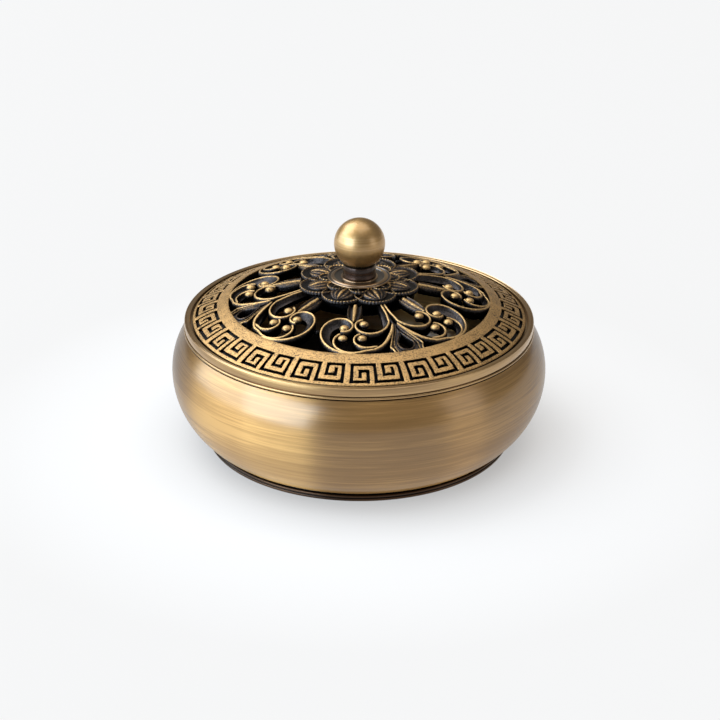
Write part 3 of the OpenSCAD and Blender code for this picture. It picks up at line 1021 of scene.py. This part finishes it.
mesh = new_mesh()
for k in range(PETALS):
    turn = STEM_TURN + math.tau / PETALS * (k + 0.5)
    petal(mesh, turn, upper_reach, 3.2, upper_z, PETAL_THICK, 0.3, [(0, 0.6)], 1.0)
    sepal(mesh, turn + math.pi / PETALS, radius("knob_flange") - 1.2, upper_reach - 0.4, 1.3, upper_z + 0.3)
plate(mesh, upper_z, 9)
finish_piece(mesh, "small_petals", "lotus_upper", "lid", lotus_brass, sharp=50)

# %% Calyx and buds
# A bud's root, widest point and tip as distances from the axis, its half width, and how far each of a pair
# leans from the line between them.
BUD_ROOT = 18.6
BUD_MIDDLE = 21.3
BUD_TIP = 27.4
BUD_HALF = 2.3
BUD_LEAN = math.radians(19.8)


def bud(mesh, turn):
    """A pointed leaf with a rolled edge each side and a bright rib along its middle."""
    rows = []
    for i in range(41):
        y = BUD_ROOT + (BUD_TIP - BUD_ROOT) * i / 40
        out = (y - BUD_MIDDLE) / (BUD_TIP - BUD_MIDDLE)
        half = BUD_HALF * math.sqrt(max(0.0, 1 - out ** 2)) + 0.08
        row = [(-half, y, dome(y) - 2.6, 0)]
        for k in range(25):
            u = -1 + k / 12
            middle = math.exp(-(u / 0.3) ** 4)
            edges = math.exp(-((abs(u) - 0.84) / 0.12) ** 2)
            h = -0.85 + 0.8 * middle + 0.6 * edges - (0.3 if k in (0, 24) else 0)
            rub = 0.08 + 0.75 * middle + 0.4 * edges
            row.append((half * u, y, dome(math.hypot(half * u, y)) + h, min(1, rub)))
        row.append((half, y, dome(y) - 2.6, 0))
        row.append(row[0])
        rows.append(row)
    made = skin(mesh, rows)
    turn_by(mesh, made, turn)


calyx_low = bottom("lotus_calyx")
mesh = new_mesh()
for k in range(PANELS):
    for lean in (-BUD_LEAN, BUD_LEAN):
        bud(mesh, STEM_TURN + math.radians(225) + math.tau / PANELS * k + lean)
lathe(mesh, [(BORE_R, calyx_low), (CALYX_RADIUS - 0.3, calyx_low), (CALYX_RADIUS, calyx_low + 0.3),
             (CALYX_RADIUS, lower_z - 0.2), (CALYX_RADIUS - 0.2, lower_z), (BORE_R, lower_z)], 192)
finish_piece(mesh, "calyx", "lotus_calyx", "lid", lotus_brass, sharp=50)

# %% [markdown]
# ## The knob
#
# A turned flange, neck and ball stand on a stud, which runs down through the lotus to a washer and a nut
# under the lid. All but the nut are spun, so their rings lie where a turner's tool would leave them. The
# nut is a six-sided cone with its corners bevelled off.

# %% Flange, neck, ball, stud, washer and nut
# The flange stands this much proud of its CAD solid and the neck this much, still inside the lid's box.
flange_r = radius("knob_flange") + 0.25
neck_r = radius("knob_neck") + 0.2
flange_low = bottom("knob_flange")
EDGE = 0.3
mesh = new_mesh()
lathe(mesh, [(BORE_R, flange_low), (flange_r - EDGE, flange_low)]
      + arc((flange_r - EDGE, flange_low + EDGE), EDGE, -90, 110, 12)
      + [(flange_r - r, flange_low + h) for r, h in (
          (0.6, 0.4), (0.85, 0.4), (1.0, 0.52), (1.1, 0.65), (1.35, 0.76), (1.7, 0.8), (2.0, 0.79),
          (2.15, 0.72), (2.3, 0.5), (2.45, 0.44))] + [(neck_r + 0.6, flange_low + 0.4)]
      + arc((neck_r + EDGE, flange_low + 0.4), EDGE, 0, 90, 6) + [(BORE_R, flange_low + 0.7)], 192)
for face in mesh.faces:
    middle = face.calc_center_median()
    wide = math.hypot(middle.x, middle.y)
    in_recess = neck_r + 0.62 < wide < flange_r - 2.2
    in_groove_line = -1 < wide - flange_r < -0.5
    if middle.z > flange_low + 0.1 and (in_recess or in_groove_line):
        face.material_index = 1
finish_piece(mesh, "flange", "knob_flange", "lid", (flange_brass, grey_patina))

neck_low = bottom("knob_neck")
neck_top = ball_z - math.sqrt(ball_radius ** 2 - neck_r ** 2) + 0.15
# The band at the top of the neck is painted black, a painted shadow under the ball.
turned("neck", "knob_neck", "lid", (neck_bronze, seam_black_and_shadow),
       [(BORE_R, neck_low), (neck_r, neck_low), (neck_r, neck_low + 0.4), (neck_r - 0.06, neck_low + 0.55),
        (neck_r - 0.1, neck_low + 2), (neck_r - 0.1, neck_top - 1.1), (neck_r - 0.15, neck_top - 1.0),
        (neck_r - 0.02, neck_top), (BORE_R, neck_top)], 128, bands=[(neck_top - 1.05, neck_top - 0.01)])
turned("ball", "knob_ball", "lid", ball_brass, arc((0, ball_z), ball_radius, -90, 90, 64),
       192, False)


def make_stud():
    """A rod with a rolled thread at its lower end, chamfered at both ends."""
    low = bottom("knob_stud")
    high = top("knob_stud")
    pitch = 0.7
    outline = [(0, low), (1.5, low), (1.95, low + 0.4)]
    z = low + 0.5
    while z < calyx_low + 1:
        outline += [(2.0, z), (2.0, z + 0.1), (1.62, z + 0.35), (1.62, z + 0.42)]
        z += pitch
    outline += [(1.98, z), (1.98, high - 0.3), (1.7, high), (0, high)]
    turned("stud", "knob_stud", "lid", zinc_steel, outline, 48, False)


make_stud()

washer_low = bottom("stud_washer")
washer_high = washer_low + 0.8
washer_line = [(2.15, washer_low), (4.5, washer_low), (4.5, washer_high), (2.15, washer_high)]
turned("washer", "stud_washer", "lid", zinc_steel, round_corners(washer_line, 0.12), 96)


def make_nut():
    """A hexagon with its corners turned off by a 30 degree chamfer, bored through."""
    low = bottom("stud_nut")
    high = top("stud_nut")
    mesh = new_mesh()
    corner = 7 / 2 / math.cos(math.pi / 6)
    bmesh.ops.create_cone(mesh, cap_ends=True, segments=6, radius1=corner, radius2=corner, depth=high - low)
    bmesh.ops.translate(mesh, vec=(0, 0, (low + high) / 2), verts=mesh.verts)
    caps = [f for f in mesh.faces if abs(f.normal.z) > 0.9]
    rims = [e for f in caps for e in f.edges]
    bmesh.ops.bevel(mesh, geom=rims, offset=0.22, offset_type="OFFSET", segments=2, profile=0.5,
                    affect="EDGES", material=-1)
    finish_piece(mesh, "nut", "stud_nut", "lid", zinc_steel)


make_nut()

# %% [markdown]
# ## The floor and the lights
#
# Metal shows what is round it more than what falls on it, so the lights are large panels. The key, on the
# left, is two of them side by side, the nearer the brighter: its edge ends the highlight on the belly. A
# panel behind and one overhead light the lid, and a faint card on the right lifts the other side.

# %% Floor and lights


def stage(name, data):
    """An object of the studio, which isn't part of the burner."""
    staged = bpy.data.objects.new(name, data)
    bpy.context.scene.collection.objects.link(staged)
    staged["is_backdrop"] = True
    return staged


def make_floor():
    """Paper eight metres square, a hair under the foot so that the two never flicker."""
    mesh = bmesh.new()
    bmesh.ops.create_grid(mesh, x_segments=1, y_segments=1, size=4)
    data = bpy.data.meshes.new("floor")
    mesh.to_mesh(data)
    mesh.free()
    data.materials.append(floor_white)
    stage("floor", data).location.z = -0.00001


def area_light(name, place, width, height, power, colour="#ffffff"):
    """A panel that faces the bowl. Sizes are in metres and power in watts."""
    light = bpy.data.lights.new(name, "AREA")
    light.shape = "RECTANGLE"
    light.size = width
    light.size_y = height
    light.energy = power
    light.color = linear(colour)[:3]
    panel = stage(name, light)
    panel.location = place
    panel.rotation_euler = (BOWL_MIDDLE - Vector(place)).to_track_quat("-Z", "Y").to_euler()


BOWL_MIDDLE = Vector((0, 0, 0.05))
make_floor()
area_light("key", (-1.69, -1.4, 0.75), 1.82, 1.5, 60, "#d8ecff")
area_light("key_left", (-2.19, 0.17, 0.75), 1.73, 1.5, 30, "#d8ecff")
area_light("upper_left", (-1.5, 0.7, 2.1), 2.6, 1.8, 70, "#f1f8ff")
area_light("overhead", (0.25, 0.3, 2.6), 2.2, 2.4, 27)
area_light("right_card", (1.83, -0.81, 0.6), 0.9, 1.2, 3.4)

world = bpy.data.worlds.new("studio")
world.use_nodes = True
world.node_tree.nodes["Background"].inputs["Color"].default_value = (0.264, 0.251, 0.23, 1)
world.node_tree.nodes["Background"].inputs["Strength"].default_value = 1.0
bpy.context.scene.world = world

scene = bpy.context.scene
scene.view_settings.view_transform = "Standard"
scene.view_settings.look = "None"

# %% [markdown]
# ## Sizes, and the end
#
# The surfaces mustn't change the object's size, so the box of the CAD model and the box of what is seen are
# printed side by side.

# %% Print the sizes and finish
seen_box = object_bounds()
for k, axis in enumerate("XYZ"):
    cad_side = cad_box[1][k] - cad_box[0][k]
    seen_side = seen_box[1][k] - seen_box[0][k]
    print(f"{axis}: CAD {cad_side * 1000:.2f} mm, seen {seen_side * 1000:.2f} mm")
